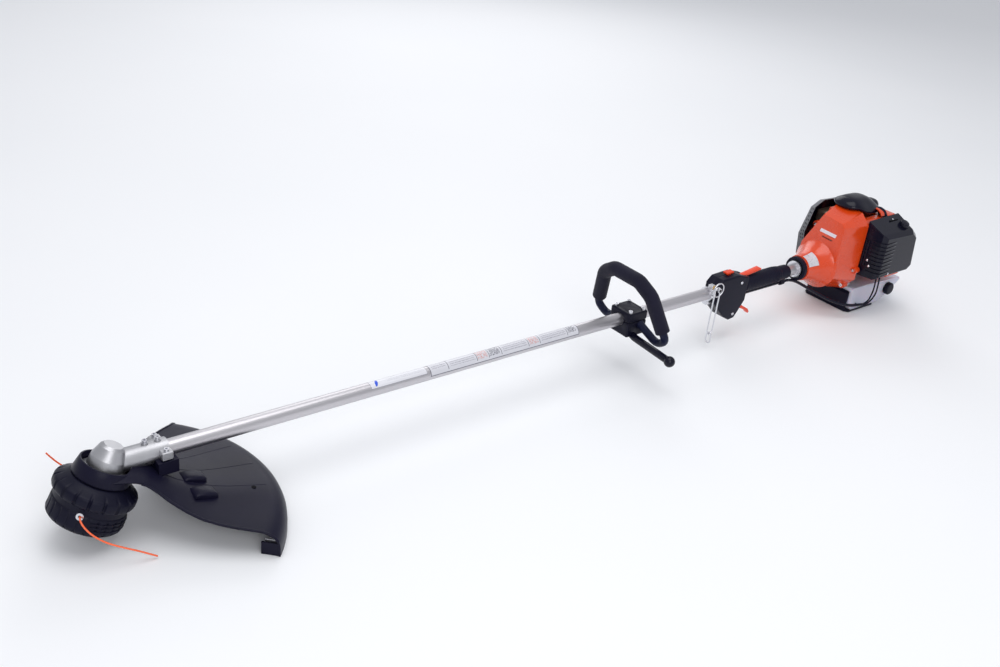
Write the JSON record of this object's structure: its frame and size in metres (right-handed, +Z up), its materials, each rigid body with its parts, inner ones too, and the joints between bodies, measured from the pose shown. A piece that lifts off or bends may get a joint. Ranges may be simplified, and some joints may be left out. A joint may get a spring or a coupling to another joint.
{
  "type": "brush cutter",
  "caption": "Petrol brush cutter with a straight shaft, two-line trimmer head, shield, loop handle and two-stroke engine.",
  "frame": {"origin": "centre of the flat rest face under the engine stand", "axes": "+X along the shaft from the head to the engine, +Y the operator's right, +Z up"},
  "size_m": [2.0137, 0.3672, 0.27],
  "materials": {
    "aluminium_case": "cast, fine satin",
    "aluminium_pipe": "clear anodised satin",
    "steel": "machined",
    "zinc_steel": "bright zinc",
    "black_plastic": "moulded satin",
    "gloss_black_plastic": "moulded semi gloss",
    "orange_plastic": "moulded semi gloss",
    "red_plastic": "moulded",
    "line_nylon": "extruded nylon",
    "foam": "closed-cell foam",
    "rubber": "moulded",
    "tank_plastic": "translucent natural",
    "grey_plastic": "moulded",
    "filter_foam": "felt"
  },
  "bodies": {
    "frame": {"air_cleaner_cover": "gloss_black_plastic", "air_filter": "filter_foam", "ball_bearings": "steel", "barrier_bar": "black_plastic", "carburettor": "aluminium_case", "clutch_cover": "orange_plastic", "crankcase": "aluminium_case", "cylinder": "aluminium_case", "cylinder_cover": "gloss_black_plastic", "cylinder_shroud": "orange_plastic", "damper_collar": "rubber", "drive_pipe": "aluminium_pipe", "fuel_lines": "rubber", "fuel_tank": "tank_plastic", "gear_case": "aluminium_case", "handle_bar": "black_plastic", "handle_clamp": "black_plastic", "handle_clamp_base": "black_plastic", "handle_grip": "foam", "hanger_clamp": "zinc_steel", "line_knife": "steel", "muffler": "steel", "muffler_guard": "gloss_black_plastic", "plug_boot": "rubber", "rear_grip": "rubber", "shaft_bushes": "grey_plastic", "shield": "black_plastic", "socket_screws": "zinc_steel", "spark_plug": "zinc_steel", "starter_housing": "orange_plastic", "tank_stand": "black_plastic", "throttle_cable": "black_plastic", "throttle_housing_left": "black_plastic", "throttle_housing_right": "black_plastic"},
    "drive": {"drive_shaft": "steel", "pinion": "steel", "clutch_drum": "steel"},
    "head": {"output_shaft": "steel", "driven_gear": "steel", "head_housing": "black_plastic", "head_base": "black_plastic", "line_eyelets": "zinc_steel", "spool": "black_plastic", "head_spring": "steel", "trimmer_line_near": "line_nylon", "trimmer_line_far": "line_nylon"},
    "knob": {"bump_knob": "black_plastic"},
    "crank": {"crankshaft": "steel", "flywheel": "aluminium_case", "clutch_shoes": "steel"},
    "piston_and_rod": {"piston": "aluminium_case", "connecting_rod": "steel"},
    "trigger": {"throttle_trigger": "red_plastic"},
    "lockout": {"lockout_lever": "red_plastic"},
    "switch": {"stop_switch": "red_plastic"},
    "link": {"hanger_link": "zinc_steel"},
    "eye": {"hanger_eye": "zinc_steel"},
    "cap": {"fuel_cap": "black_plastic"},
    "rope_handle": {"starter_handle": "rubber"},
    "reel": {"starter_reel": "rubber"}
  },
  "joints": [
    {"name": "drive_spin", "type": "hinge", "parent": "frame", "child": "drive", "pos_m": [-1.751, 0, 0.118], "axis": [1, 0, 0], "continuous": true},
    {"name": "head_spin", "type": "hinge", "parent": "frame", "child": "head", "pos_m": [-1.781, 0, 0.118], "axis": [0.4226, 0, 0.9063], "continuous": true},
    {"name": "knob_bump", "type": "slide", "parent": "head", "child": "knob", "axis": [0.4226, 0, 0.9063], "range_m": [0, 0.006], "stiffness_N_per_m": 2500, "springref_m": -0.004, "deforming": ["head_spring"]},
    {"name": "crank_spin", "type": "hinge", "parent": "frame", "child": "crank", "pos_m": [-0.02, 0, 0.118], "axis": [1, 0, 0], "continuous": true},
    {"name": "piston_slide", "type": "slide", "parent": "frame", "child": "piston_and_rod", "axis": [0, 0, -1], "range_m": [0, 0.028]},
    {"name": "trigger_pull", "type": "hinge", "parent": "frame", "child": "trigger", "pos_m": [-0.405, 0, 0.076], "axis": [0, -1, 0], "range_deg": [0, 18], "stiffness_Nm_per_rad": 0.2, "springref_deg": -17.19},
    {"name": "lockout_press", "type": "hinge", "parent": "frame", "child": "lockout", "pos_m": [-0.391, 0, 0.1385], "axis": [0, 1, 0], "range_deg": [0, 4], "stiffness_Nm_per_rad": 0.3, "springref_deg": -8.59},
    {"name": "stop_slide", "type": "slide", "parent": "frame", "child": "switch", "axis": [1, 0, 0], "range_m": [0, 0.005]},
    {"name": "link_swing", "type": "hinge", "parent": "frame", "child": "link", "pos_m": [-0.495, -0.027, 0.139], "axis": [0, 1, 0], "range_deg": [-80, 80]},
    {"name": "eye_swing", "type": "hinge", "parent": "link", "child": "eye", "pos_m": [-0.495, -0.027, 0.0353], "axis": [1, 0, 0], "range_deg": [-60, 20]},
    {"name": "cap_turn", "type": "hinge", "parent": "frame", "child": "cap", "pos_m": [0.098, -0.062, 0.035], "axis": [0, -1, 0], "range_deg": [0, 270]},
    {"name": "starter_pull", "type": "slide", "parent": "frame", "child": "rope_handle", "axis": [0, 0, 1], "range_m": [0, 0.05], "stiffness_N_per_m": 60, "springref_m": -0.02},
    {"name": "reel_turn", "type": "hinge", "parent": "frame", "child": "reel", "pos_m": [0.111, 0, 0.118], "axis": [1, 0, 0], "range_deg": [0, 113.34]}
  ],
  "couplings": [
    {"joint": "head_spin", "follows": "drive_spin", "ratio": -0.5},
    {"joint": "reel_turn", "follows": "starter_pull", "rad_per_m": 39.216}
  ]
}
